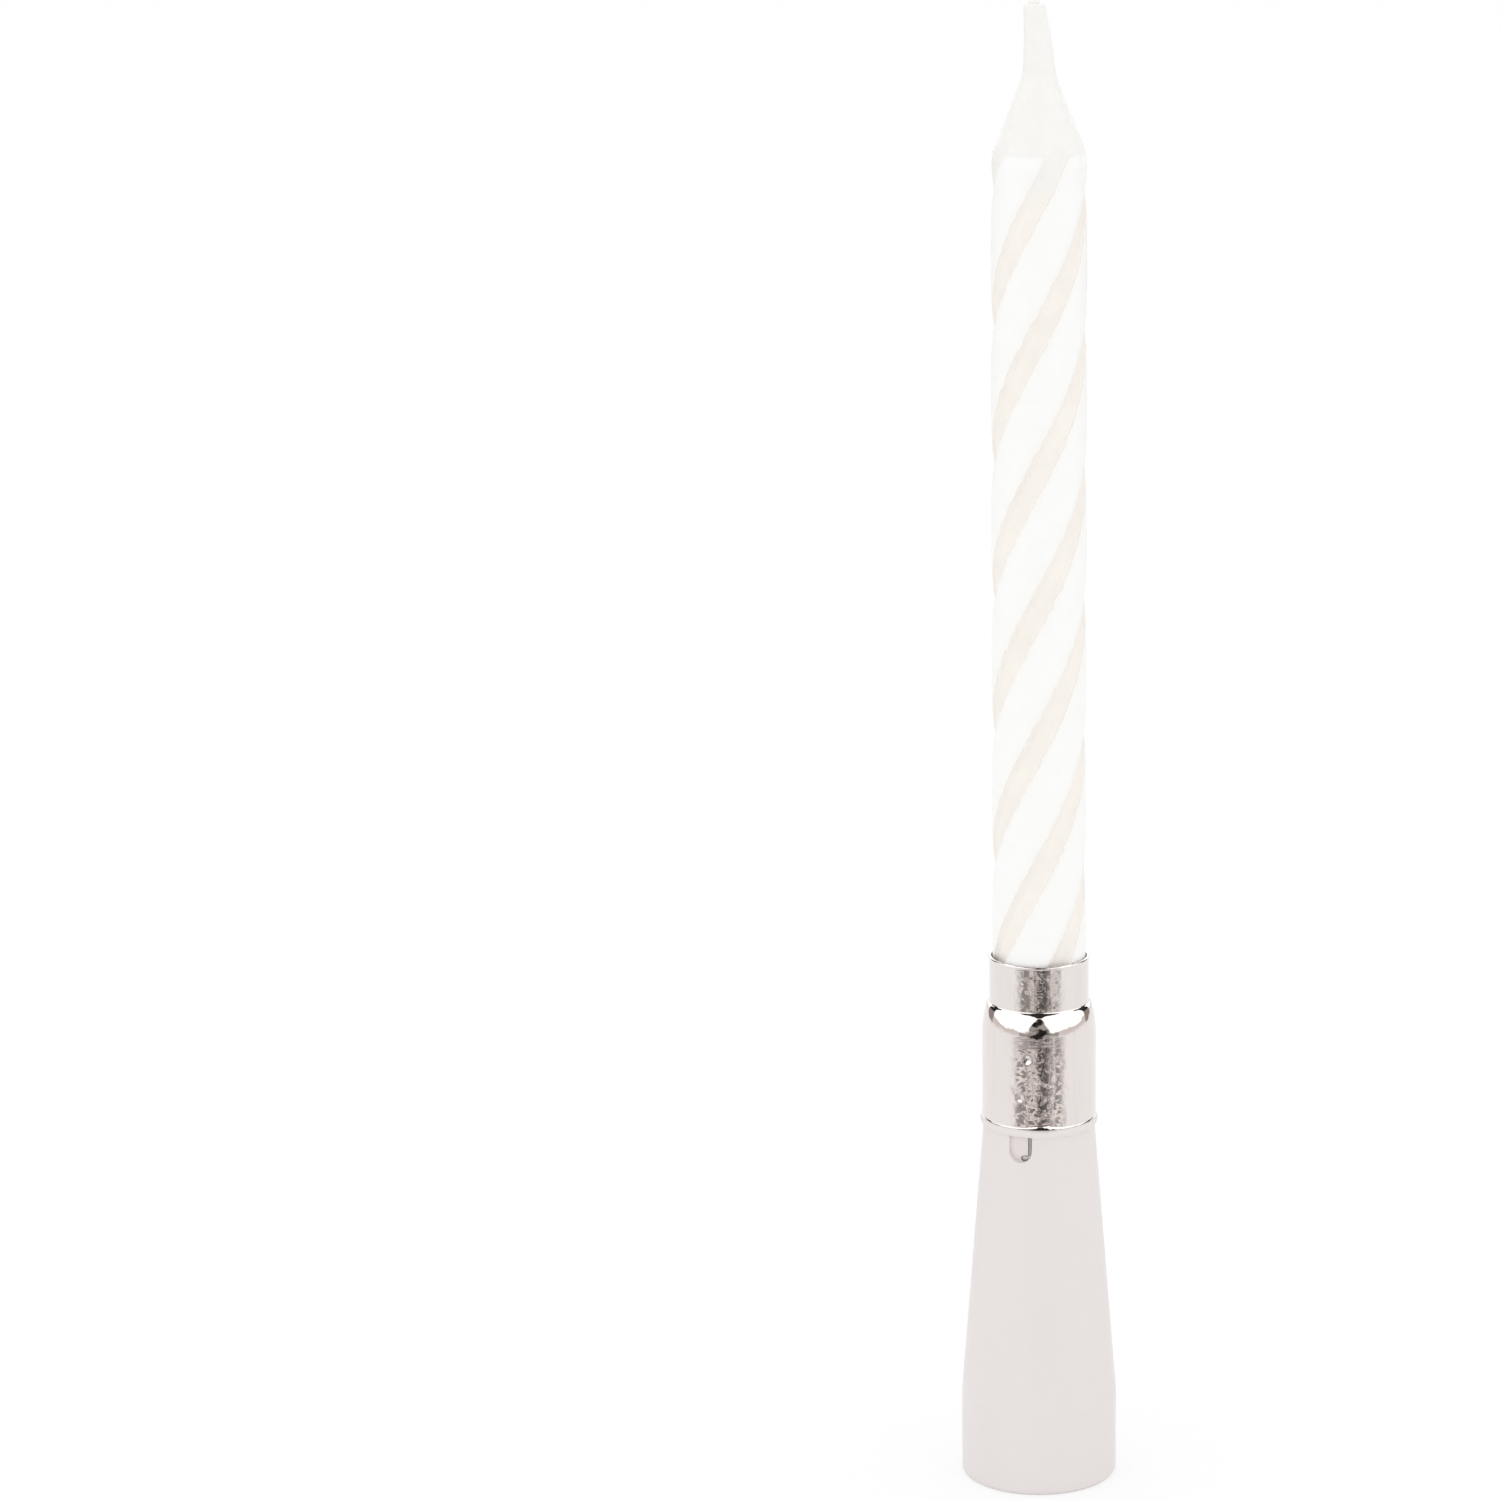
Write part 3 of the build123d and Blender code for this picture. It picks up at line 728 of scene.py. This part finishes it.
def spaced(low, high, count):
    """Evenly spaced values after low, up to and with high."""
    return [low + (high - low) * (spot + 1) / count for spot in range(count)]


def shoulder_outline(radius, foot, ferrule):
    """Radius and height points from the sleeve's top over the slope and the crown to the collar."""
    slope_steps, bend_steps = 14, 7
    crown_length = (ferrule.crown_tilt - ferrule.slope_tilt) * ferrule.crown_bend
    crease_length = ferrule.crown_tilt * ferrule.crease_bend
    slope_length = ferrule.shoulder_rise - crown_length - crease_length
    runs = (
        (0.0, ferrule.slope_tilt, slope_length, slope_steps),
        (ferrule.slope_tilt, ferrule.crown_tilt, crown_length, bend_steps),
        (ferrule.crown_tilt, 0.0, crease_length, bend_steps),
    )
    inward, up = [0.0], [0.0]
    for first, last, run, count in runs:
        tilts = [first] + spaced(first, last, count)
        for tilt, following in zip(tilts, tilts[1:]):
            middle = (tilt + following) / 2
            inward.append(inward[-1] + math.sin(middle) * run / count)
            up.append(up[-1] + math.cos(middle) * run / count)
    across, along = ferrule.shoulder_step / inward[-1], ferrule.shoulder_rise / up[-1]
    return [(radius - across * step, foot + along * rise) for step, rise in zip(inward, up)]


def hem_heights(ferrule):
    """Heights of the hem's edge and of the bend where it leaves the sleeve."""
    bottom = ferrule.bottom - ferrule.hem_drop
    return bottom, bottom + ferrule.hem_bend * math.sin(ferrule.hem_tilt)


def ferrule_outline(ferrule):
    """Closed outline of the ferrule's wall: from the flared hem up the outside and down the inside."""
    hem_steps, low_steps, dimple_steps, high_steps, collar_steps, lip_steps = 8, 6, 20, 32, 9, 16
    near = 1.25 * ferrule.dimple_reach
    bore = ferrule.radius - ferrule.wall
    sleeve_top = ferrule.bottom + ferrule.sleeve_length
    hem_bottom, hem_top = hem_heights(ferrule)
    below, above = ferrule.dimple_height - near, ferrule.dimple_height + near
    heights = spaced(hem_top, below, low_steps) + spaced(below, above, dimple_steps)
    heights += spaced(above, sleeve_top, high_steps)[:-1]
    outline = [(bore, hem_bottom)]
    for tilt in [ferrule.hem_tilt] + spaced(ferrule.hem_tilt, 0.0, hem_steps):
        flare = ferrule.hem_bend * (1 - math.cos(tilt))
        outline.append((ferrule.radius + flare, hem_top - ferrule.hem_bend * math.sin(tilt)))
    outline += [(ferrule.radius, height) for height in heights]
    outline += shoulder_outline(ferrule.radius, sleeve_top, ferrule)

    collar_bottom = sleeve_top + ferrule.shoulder_rise
    collar_radius = ferrule.radius - ferrule.shoulder_step
    collar_bore = collar_radius - ferrule.wall
    lip = ferrule.lip_round
    lip_radius, lip_height = collar_bore + lip, ferrule.top - lip
    lip_start = -math.acos((collar_radius - lip_radius) / lip)
    lip_foot = lip_height + lip * math.sin(lip_start)
    outline += [(collar_radius, height) for height in spaced(collar_bottom, lip_foot, collar_steps)]
    for way in spaced(lip_start, math.pi, lip_steps):
        outline.append((lip_radius + lip * math.cos(way), lip_height + lip * math.sin(way)))
    outline.append((collar_bore, collar_bottom))
    outline += shoulder_outline(bore, sleeve_top, ferrule)[-2::-1]
    outline += [(bore, height) for height in reversed(heights)]
    return outline


def ferrule_mesh(ferrule):
    """Mesh of the drawn ferrule with its two dimples, a dent and the slight waves of the sheet."""
    dense, coarse = 0.8 * DEGREE, 1.6 * DEGREE
    wave_scale, wave_height = 2.2, 3 * MM
    bend_scale, bend_share = 16, 0.35
    reach = 1.3 * ferrule.dimple_reach / ferrule.radius
    angles, marks = [], []
    for dimple in (ferrule.dimple_angle, ferrule.dimple_angle + math.pi):
        angles += [dimple + reach * spot for spot in spaced(-1, 1, round(2 * reach / dense))]
        plain_steps = round((math.pi - 2 * reach) / coarse)
        angles += spaced(dimple + reach, dimple + math.pi - reach, plain_steps)[:-1]
        marks.append((dimple, ferrule.dimple_height, ferrule.dimple_reach, ferrule.dimple_depth))
    marks.append((ferrule.dent_angle, ferrule.dent_height, ferrule.dent_reach, ferrule.dent_depth))

    def inward(angle, height):
        """Depth of the marks and waves at a place on the wall."""
        sunk = 0.0
        for middle, level, mark_reach, depth in marks:
            off = math.remainder(angle - middle, math.tau) * ferrule.radius
            away = math.hypot(off, height - level) / mark_reach
            if away < 1:
                sunk += depth * (1 + math.cos(math.pi * away)) / 2
        place = Vector((math.cos(angle), math.sin(angle), height / wave_height)) * wave_scale
        return sunk + ferrule.waviness * (1 + noise.noise(place)) / 2

    def swell(angle):
        """How many times the hem's flare is bent open in a direction."""
        off = math.remainder(angle - ferrule.swell_angle, math.tau) / ferrule.swell_width
        bends = noise.noise(Vector((math.cos(angle), math.sin(angle), 0.0)) * bend_scale)
        return 1 + ferrule.hem_swell * math.exp(-off ** 2) * (1 + bend_share * bends)

    hem_bottom, hem_top = hem_heights(ferrule)
    mesh = bmesh.new()
    rings = []
    for radius, height in ferrule_outline(ferrule):
        on_hem = radius >= ferrule.radius and height <= hem_top
        ring = []
        for angle in angles:
            more = swell(angle) if on_hem else 1.0
            out = ferrule.radius + (radius - ferrule.radius) * more - inward(angle, height)
            level = hem_bottom + (height - hem_bottom) * more
            ring.append(mesh.verts.new((out * math.cos(angle), out * math.sin(angle), level)))
        rings.append(ring)
    for ring, following in zip(rings, rings[1:] + rings[:1]):
        for spot in range(len(angles)):
            mesh.faces.new((ring[spot - 1], ring[spot], following[spot], following[spot - 1]))
    bmesh.ops.recalc_face_normals(mesh, faces=mesh.faces)
    for face in mesh.faces:
        face.smooth = True
    made = bpy.data.meshes.new("ferrule_sheet")
    mesh.to_mesh(made)
    mesh.free()
    return made


def dress_nodes(material, *nodes):
    """Gives CAD nodes that stay a better material."""
    for node in nodes:
        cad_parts[node].material_slots[0].material = material


class CANDLE_OT_wax_core(bpy.types.Operator):
    """Make the twisted wax core with its cone and leaning tip"""

    bl_idname = "candle.wax_core"
    bl_label = "Wax core"

    def execute(self, context):
        sizes = context.scene.candle_sizes
        names = (
            "seat cone_bottom cone_length wax_top rod_radius groove_depth stub_radius tip_radius "
            "tip_lean tip_round bore_radius spiral_lead rib_count stripe_start white_share "
            "unevenness seed"
        )
        values = pick(sizes, names, Material=core_wax_finish(context.scene.candle_finishes, sizes))
        piece = grow("candle_core_wax", twisted_core_tree(values), values)
        settle(piece, "candle", "core_wax", "candle_core", sharp_degrees=55)
        return {"FINISHED"}


class CANDLE_OT_white_coats(bpy.types.Operator):
    """Make the white coats on the ribs"""

    bl_idname = "candle.white_coats"
    bl_label = "White coats"

    def execute(self, context):
        sizes = context.scene.candle_sizes
        pitch = math.tau / sizes.rib_count
        values = pick(
            sizes,
            "seat cone_bottom radius rod_radius coat_sink stripe_start spiral_lead "
            "raggedness unevenness seed",
            Span=pitch * sizes.white_share,
            Material=white_wax_finish(context.scene.candle_finishes),
        )
        tree = white_coat_tree(values)
        for rib in range(sizes.rib_count):
            start, seed = sizes.stripe_start + pitch * rib, float(sizes.seed * (rib + 1))
            own = values | {"Stripe start": start, "Seed": seed}
            piece = grow(f"white_coat_wax_{rib + 1}", tree, own)
            settle(piece, "candle", "white_wax", f"white_coat_{rib + 1}", sharp_degrees=60)
        return {"FINISHED"}


class CANDLE_OT_wick(bpy.types.Operator):
    """Make the plied cotton wick"""

    bl_idname = "candle.wick"
    bl_label = "Wick"

    def execute(self, context):
        ply_end = 0.08 * MM
        values = pick(
            context.scene.candle_sizes,
            "cone_bottom cone_length tip_lean ply_radius ply_lead",
            Bottom=WICK_LOW.z + ply_end,
            Top=WICK_HIGH.z - ply_end,
            Material=wick_finish(context.scene.candle_finishes),
        )
        piece = grow("wick_plies", wick_tree(values), values)
        settle(piece, "candle", "wick_cotton", "wick")
        return {"FINISHED"}


class CANDLE_OT_ferrule(bpy.types.Operator):
    """Make the drawn metal ferrule"""

    bl_idname = "candle.ferrule"
    bl_label = "Ferrule"

    def execute(self, context):
        scene = context.scene
        piece = bpy.data.objects.new("ferrule_sheet", ferrule_mesh(scene.ferrule_sizes))
        scene.collection.objects.link(piece)
        piece.data.materials.append(ferrule_finish(scene.candle_finishes, scene.ferrule_sizes))
        settle(piece, "ferrule", "ferrule_metal", "ferrule", sharp_degrees=50)
        return {"FINISHED"}


class CANDLE_OT_base(bpy.types.Operator):
    """Finish the base shell and the plug under its foot"""

    bl_idname = "candle.base"
    bl_label = "Base"

    def execute(self, context):
        tones = context.scene.candle_finishes
        dress_nodes(plastic_finish("milky_base_plastic", tones.base_plastic), "base_shell")
        dress_nodes(plastic_finish("milky_plug_plastic", tones.plug_plastic), "base_plug")
        return {"FINISHED"}


class CANDLE_OT_works(bpy.types.Operator):
    """Finish the cells, the contact strip and the lamp inside the base"""

    bl_idname = "candle.works"
    bl_label = "Works"

    def execute(self, context):
        tones = context.scene.candle_finishes
        cells = (1, 2, 3)
        steel = metal_finish(
            "plated_cell_steel", tones.cell_steel, smooth=0.20, rough=0.36, per_mm=5.0, stretch=1.0
        )
        dress_nodes(steel, *[f"cell_{piece}_{cell}" for piece in ("can", "cap") for cell in cells])
        seal = moulded_finish("seal_nylon", tones.gasket_nylon, smooth=0.40, rough=0.60)
        dress_nodes(seal, *[f"cell_gasket_{cell}" for cell in cells])
        film = moulded_finish("shrunk_wrap_film", tones.wrap_film, smooth=0.16, rough=0.34)
        dress_nodes(film, "cell_wrap")
        brass = metal_finish(
            "rolled_strip_brass", tones.strip_metal, smooth=0.16, rough=0.34, per_mm=3.0, stretch=0.2
        )
        dress_nodes(brass, "contact_strip")
        epoxy = moulded_finish(
            "clear_lamp_epoxy", tones.lens_epoxy, smooth=0.03, rough=0.12,
            Transmission_Weight=0.92, IOR=1.54,
        )
        dress_nodes(epoxy, "led_lens")
        die = moulded_finish("lamp_die", tones.chip_die, smooth=0.12, rough=0.25)
        dress_nodes(die, "led_chip")
        # Tinned wire, its dark tone painted shade of the notch round the cathode lead
        wire = metal_finish(
            "tinned_lead_wire", tones.lead_metal, smooth=0.34, rough=0.52, per_mm=6.0, stretch=0.6
        )
        dress_nodes(wire, "led_anode_lead", "led_cathode_lead")
        return {"FINISHED"}


def stage_surface(name, tone):
    """Plain matt material for the stage, with its graph and its diffuse shader."""
    made = bpy.data.materials.new(name)
    made.use_nodes = True
    made.node_tree.nodes.clear()
    graph = Graph(made.node_tree)
    matt = graph.node("ShaderNodeBsdfDiffuse", {"Color": rgba(tone)})
    return made, graph, matt


def seen_ray(graph):
    """Field that is 1 for rays that show a surface: camera, glossy and transmitted ones."""
    path = graph.node("ShaderNodeLightPath")
    shown = graph.math("MAXIMUM", path.outputs["Is Camera Ray"], path.outputs["Is Glossy Ray"])
    return graph.math("MAXIMUM", shown, path.outputs["Is Transmission Ray"])


def stage_sheet(name, points, faces, material):
    """Stage object of plain faces."""
    mesh = bpy.data.meshes.new(name)
    mesh.from_pydata(points, [], faces)
    mesh.materials.append(material)
    sheet = bpy.data.objects.new(name, mesh)
    bpy.context.scene.collection.objects.link(sheet)
    return sheet


def reflected_sheet(name, points, faces, surface, shown=None):
    """Stage sheet that only reflections show, clear where its shown field is nought."""
    material, graph, skin = surface
    if shown is not None:
        clear = graph.node("ShaderNodeBsdfTransparent")
        skin = graph.node("ShaderNodeMixShader", {0: shown, 1: clear, 2: skin})
    graph.node("ShaderNodeOutputMaterial", {"Surface": skin})
    sheet = stage_sheet(name, points, faces, material)
    for ray in ("camera", "diffuse", "transmission", "shadow", "volume_scatter"):
        setattr(sheet, f"visible_{ray}", False)


def fan(edges, middle, half_angle):
    """Points and faces of a strip round the axis, between two edges of a radius and a height each."""
    slices = 24
    points = []
    for spot in range(slices + 1):
        swing = middle + half_angle * (2 * spot / slices - 1)
        points += [(far * math.sin(swing), -far * math.cos(swing), height) for far, height in edges]
    return points, [(spot, spot + 1, spot + 3, spot + 2) for spot in range(0, 2 * slices, 2)]


def front_card(name, light, half_angle, near, far, rise, dark_share, soft_share):
    """Patchy card on the floor in front, with soft sides and, where it rises, a pointed flap."""
    patches_aside, patches_out, patches_up = 2.4, 9.0, 30.0
    patch_low, patch_high = 0.42, 0.54
    deep_from, deep_full, deep_share = 0.093, 0.101, 0.26
    points, faces = fan(((near, CARD_HEIGHT), (far, CARD_HEIGHT)), 0.0, half_angle)
    if rise:
        faces += [(inner + 1, inner + 3, len(points)) for inner, *_ in faces]
        points.append((0, -far, rise))
    surface = stage_surface(name, light)
    _, graph, matt = surface
    x, y, z = object_place(graph)
    swing = graph.math("ARCTAN2", x, y * -1)
    out = graph.math("SQRT", x * x + y * y)
    # Patches change with the distance, so that the upright wall shows flecks instead of streaks
    growth = graph.math("LOGARITHM", out, math.e)
    spread = graph.join(swing * patches_aside, growth * patches_out, z * patches_up)
    patches = graph.step(graph.noise(spread, 1.0, detail=1.0), patch_low, patch_high)
    deep = graph.step(out, deep_from, deep_full) * deep_share
    dark = rgba(light, dark_share)
    graph.feed(matt.inputs["Color"], graph.mix(deep, graph.mix(patches, rgba(light), dark), dark))
    shown = 1 - graph.step(abs(swing) / half_angle, 1 - soft_share, 1.0)
    reflected_sheet(name, points, faces, surface, shown)


def flag(name, tone, points, faces, fade=None):
    """Plain sheet that only reflections show, faded in between two radii where these are given."""
    surface = stage_surface(name, tone)
    graph = surface[1]
    shown = None
    if fade:
        x, y, _ = object_place(graph)
        shown = graph.step(graph.math("SQRT", x * x + y * y), *fade)
    reflected_sheet(name, points, faces, surface, shown)


def lay_floor(stage):
    """Pale matt floor that turns nearly white where it is seen."""
    material, graph, matt = stage_surface("pale_floor", stage.floor_tone)
    glow = graph.node("ShaderNodeEmission", {"Color": (1, 1, 1, 1), "Strength": 1.0})
    both = graph.node(
        "ShaderNodeMixShader",
        {0: seen_ray(graph) * stage.floor_glow, 1: matt, 2: glow},
    )
    graph.node("ShaderNodeOutputMaterial", {"Surface": both})
    reach = 4.0
    corners = [(-reach, -reach, 0), (reach, -reach, 0), (reach, reach, 0), (-reach, reach, 0)]
    stage_sheet("floor", corners, [(0, 1, 2, 3)], material)


def lay_cards(stage):
    """Two cards in front, which give the ferrule its dark, flecked middle."""
    front_card(
        "grey_card", stage.card_tone, stage.card_half_angle,
        near=0.03, far=0.27, rise=0.0, dark_share=0.34, soft_share=0.45,
    )
    front_card(
        "dark_card", stage.dark_tone, stage.dark_half_angle,
        near=0.03, far=0.30, rise=0.13, dark_share=0.04, soft_share=0.55,
    )


def hang_flags(stage):
    """Grey rings on the floor, and dark flags behind and overhead, for the ferrule's dark lines."""
    ring_near, ring_full, ring_far, ring_height = 0.20, 0.48, 3.0, 0.2 * MM
    rings = (
        ("horizon_ring", stage.ring_tone, ring_height, math.pi),
        ("front_ring", stage.front_tone, CARD_HEIGHT, stage.front_half_angle),
    )
    for name, tone, height, half_angle in rings:
        edges = ((ring_near, height), (ring_far, height))
        flag(name, tone, *fan(edges, 0.0, half_angle), fade=(ring_near, ring_full))
    low_edge, bend, top_edge = (0.30, CARD_HEIGHT), (0.6, 0.08), (0.6, 0.75)
    for side in (-1, 1):
        spread = (side * stage.flag_angle, stage.flag_half_angle)
        flag(f"low_flag_{side}", stage.low_flag_tone, *fan((low_edge, bend), *spread))
        flag(f"high_flag_{side}", stage.dark_flag_tone, *fan((bend, top_edge), *spread))
    ceiling = 0.7
    rim = [(0.20, -1.80), (0.20, -0.95), (0.34, -0.35), (0.34, 0.30)]
    rim += [(-x, y) for x, y in reversed(rim)]
    points = [(x, y, ceiling) for x, y in rim]
    flag("overhead_flag", stage.dark_flag_tone, points, [tuple(range(len(rim)))])


def light_stage(scene, stage):
    """White sky, with its own level in reflections, and a soft box overhead."""
    world = bpy.data.worlds.new("studio")
    scene.world = world
    world.use_nodes = True
    graph = Graph(world.node_tree)
    sky = world.node_tree.nodes["Background"]
    graph.feed(sky.inputs["Color"], (1, 1, 1, 1))
    path = graph.node("ShaderNodeLightPath")
    camera_ray = Field(graph, path.outputs["Is Camera Ray"])
    glossy_ray = Field(graph, path.outputs["Is Glossy Ray"])
    level = stage.sky_level + (1 - stage.sky_level) * camera_ray
    graph.feed(sky.inputs["Strength"], level + (stage.sky_shine - stage.sky_level) * glossy_ray)

    lamp = bpy.data.lights.new("soft_box", "AREA")
    lamp.shape = "SQUARE"
    lamp.size = stage.lamp_side
    lamp.energy = stage.lamp_level * math.pi * stage.lamp_side ** 2
    box = bpy.data.objects.new("soft_box", lamp)
    box.location = stage.lamp_place
    scene.collection.objects.link(box)


def aim_camera(scene, stage):
    """Camera in front, shifted aside because the object stands off the image's middle."""
    lens = bpy.data.cameras.new("camera")
    lens.sensor_width = 36.0
    lens.lens = stage.focal_pixels / IMAGE_SIDE * lens.sensor_width
    lens.shift_x = -stage.axis_pixels / IMAGE_SIDE
    lens.clip_start = 0.01
    lens.clip_end = 20.0
    camera = bpy.data.objects.new("camera", lens)
    camera.location = (0, -stage.camera_distance, stage.camera_height)
    camera.rotation_euler = (math.pi / 2 - stage.camera_pitch, 0, 0)
    scene.collection.objects.link(camera)
    scene.camera = camera


class CANDLE_OT_stage(bpy.types.Operator):
    """Set the floor, the cards, the flags, the soft light and the camera"""

    bl_idname = "candle.stage"
    bl_label = "Stage"

    def execute(self, context):
        scene = context.scene
        stage = scene.stage_sizes
        lay_floor(stage)
        lay_cards(stage)
        hang_flags(stage)
        light_stage(scene, stage)
        aim_camera(scene, stage)
        scene.view_settings.view_transform = "Standard"
        return {"FINISHED"}


class CANDLE_PT_sidebar(bpy.types.Panel):
    """Sidebar panel with the sizes, the colours and the steps"""

    bl_idname = "CANDLE_PT_sidebar"
    bl_label = "Spiral candle"
    bl_space_type = "VIEW_3D"
    bl_region_type = "UI"
    bl_category = "Candle"

    def draw(self, context):
        for owner, title in SETTINGS.items():
            box = self.layout.box()
            box.label(text=title)
            group = getattr(context.scene, owner)
            for name in group.bl_rna.properties.keys():
                if name not in ("rna_type", "name"):
                    box.prop(group, name)
        for operator in STEPS:
            self.layout.operator(operator.bl_idname)


STEPS = (
    CANDLE_OT_wax_core,
    CANDLE_OT_white_coats,
    CANDLE_OT_wick,
    CANDLE_OT_ferrule,
    CANDLE_OT_base,
    CANDLE_OT_works,
    CANDLE_OT_stage,
)
SETTINGS = {
    "candle_sizes": "Candle",
    "ferrule_sizes": "Ferrule",
    "candle_finishes": "Finishes",
    "stage_sizes": "Stage",
}
GROUPS = (CandleSizes, FerruleSizes, Finishes, StageSizes)


def register():
    for kind in (*GROUPS, *STEPS, CANDLE_PT_sidebar):
        bpy.utils.register_class(kind)
    for owner, kind in zip(SETTINGS, GROUPS):
        setattr(bpy.types.Scene, owner, bpy.props.PointerProperty(type=kind))


def unregister():
    for owner in SETTINGS:
        delattr(bpy.types.Scene, owner)
    for kind in reversed((*GROUPS, *STEPS, CANDLE_PT_sidebar)):
        bpy.utils.unregister_class(kind)


def main():
    """Dress the candle and set the stage."""
    register()
    bpy.ops.candle.wax_core()
    bpy.ops.candle.white_coats()
    bpy.ops.candle.wick()
    bpy.ops.candle.ferrule()
    bpy.ops.candle.base()
    bpy.ops.candle.works()
    bpy.ops.candle.stage()


if __name__ == "__main__":
    main()
